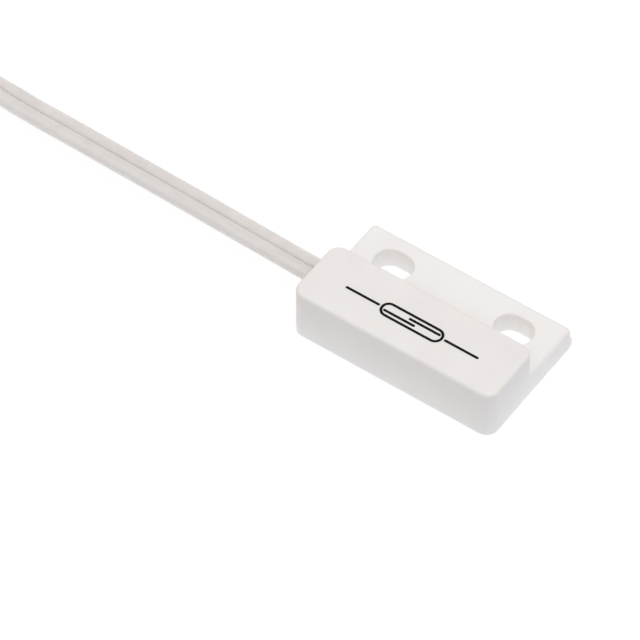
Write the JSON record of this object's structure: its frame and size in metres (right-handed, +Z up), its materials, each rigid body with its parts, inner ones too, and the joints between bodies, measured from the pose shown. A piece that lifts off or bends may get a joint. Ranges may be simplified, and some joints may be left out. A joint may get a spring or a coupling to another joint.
{
  "type": "reed sensor",
  "caption": "Small white reed sensor: a moulded block over a flange with slotted holes, a sealed reed capsule potted inside, and a flat lead that leaves one end and lies folded in a tied hank.",
  "frame": {"origin": "centre of the moulding's underside, on the mounting plane", "axes": "+X along the moulding away from the end that the lead leaves, +Y from the block towards the slotted flange, +Z up from the mounting plane"},
  "size_m": [0.1173, 0.0266, 0.0059],
  "materials": {
    "housing_plastic": "satin",
    "potting_resin": "satin",
    "capsule_glass": "gloss",
    "reed_alloy": "satin",
    "splice_metal": "satin",
    "lead_pvc": "matte",
    "copper_strands": "satin",
    "tinned_strands": "satin",
    "tie_plastic": "satin"
  },
  "bodies": {
    "root": {"housing": "housing_plastic", "potting": "potting_resin", "reed_glass": "capsule_glass", "reed_near": "reed_alloy", "reed_far": "reed_alloy", "splice_near": "splice_metal", "splice_far": "splice_metal", "lead_inner_end": "lead_pvc", "strands_near": "copper_strands", "strands_far": "copper_strands", "lead": "lead_pvc", "lead_hank": "lead_pvc", "lead_tail": "lead_pvc", "core_tail_a": "lead_pvc", "core_tail_b": "lead_pvc", "tinned_tip_a": "tinned_strands", "tinned_tip_b": "tinned_strands", "hank_tie": "tie_plastic"}
  },
  "joints": []
}
